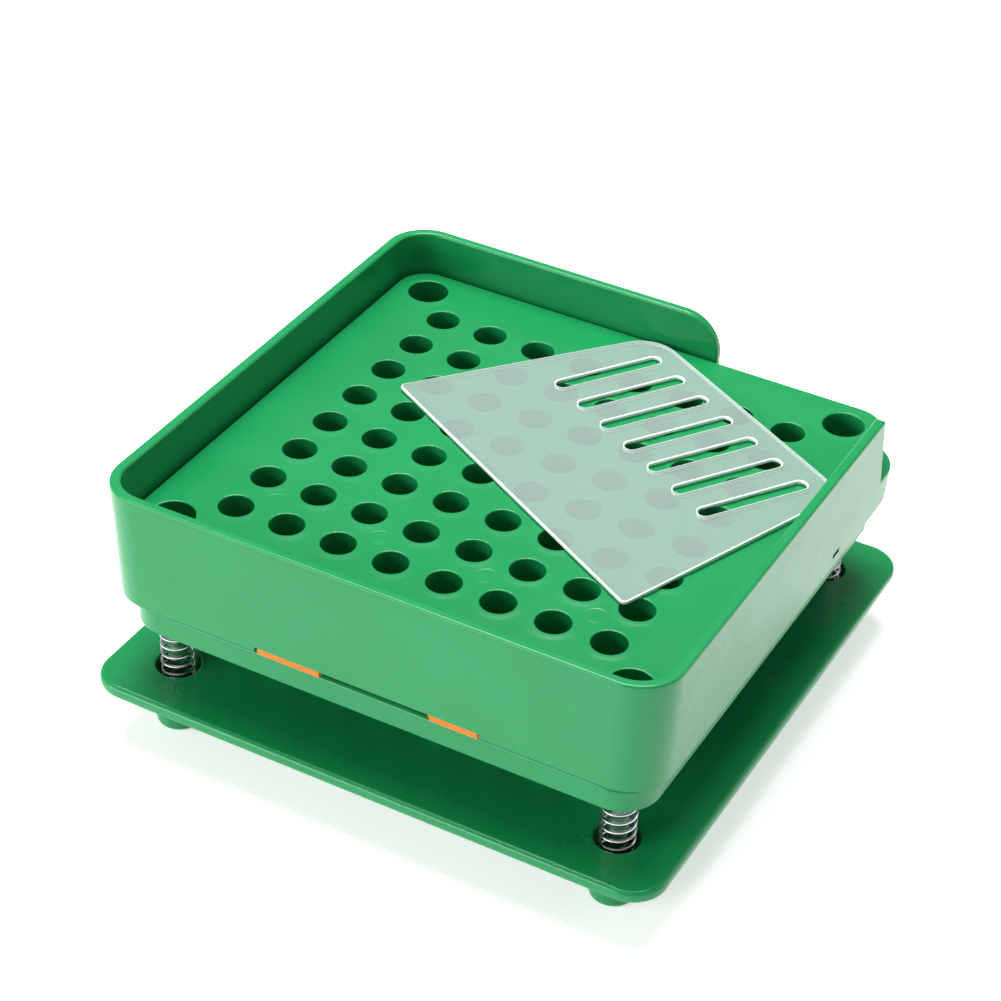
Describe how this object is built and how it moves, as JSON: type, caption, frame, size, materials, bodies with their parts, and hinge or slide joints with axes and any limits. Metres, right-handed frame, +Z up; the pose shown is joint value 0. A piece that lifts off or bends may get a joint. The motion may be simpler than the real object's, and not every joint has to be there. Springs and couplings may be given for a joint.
{
  "type": "manual capsule filler",
  "caption": "Square hand-press tray for filling capsules: a walled hole plate rides on sprung guide posts over a base plate, with a lock sheet and a powder scraper.",
  "frame": {"origin": "on the standing surface, under the middle of the base plate", "axes": "+Z up, +X to the right along the front edge with the orange lock sheet's tabs, +Y to the back, where the powder is poured out at the right corner"},
  "size_m": [0.135, 0.135, 0.0646],
  "materials": {
    "green_plastic": "moulded, glossy",
    "orange_sheet": "smooth, satin",
    "frosted_plastic": "frosted, translucent",
    "bright_steel": "turned, bright",
    "spring_wire": "drawn wire, bright"
  },
  "bodies": {
    "base": {"base_plate": "green_plastic", "guide_post_front_left": "bright_steel", "guide_post_front_right": "bright_steel", "guide_post_back_right": "bright_steel", "guide_post_back_left": "bright_steel", "stop_washer_front_left": "bright_steel", "stop_washer_front_right": "bright_steel", "stop_washer_back_right": "bright_steel", "stop_washer_back_left": "bright_steel", "stop_screw_front_left": "bright_steel", "stop_screw_front_right": "bright_steel", "stop_screw_back_right": "bright_steel", "stop_screw_back_left": "bright_steel", "spring_front_left": "spring_wire", "spring_front_right": "spring_wire", "spring_back_right": "spring_wire", "spring_back_left": "spring_wire"},
    "tray": {"lower_plate": "green_plastic", "hole_plate": "green_plastic", "clamp_screw_front_left": "bright_steel", "clamp_screw_front_right": "bright_steel", "clamp_screw_back_right": "bright_steel", "clamp_screw_back_left": "bright_steel"},
    "guard": {"guard_frame": "green_plastic"},
    "lock": {"lock_sheet": "orange_sheet"},
    "spreader": {"scraper": "frosted_plastic"}
  },
  "joints": [
    {"name": "press", "type": "slide", "parent": "base", "child": "tray", "axis": [0, 0, -1], "range_m": [0, 0.0129], "stiffness_N_per_m": 1500, "springref_m": -0.006, "deforming": ["spring_front_left", "spring_front_right", "spring_back_right", "spring_back_left"]},
    {"name": "guard_lift", "type": "slide", "parent": "tray", "child": "guard", "axis": [0, 0, 1], "range_m": [0, 0.04]},
    {"name": "lock_slide", "type": "slide", "parent": "tray", "child": "lock", "axis": [0, -1, 0], "range_m": [0, 0.0018]},
    {"name": "scraper_lift", "type": "slide", "parent": "tray", "child": "spreader", "axis": [0, 0, 1], "range_m": [0, 0.05]}
  ]
}
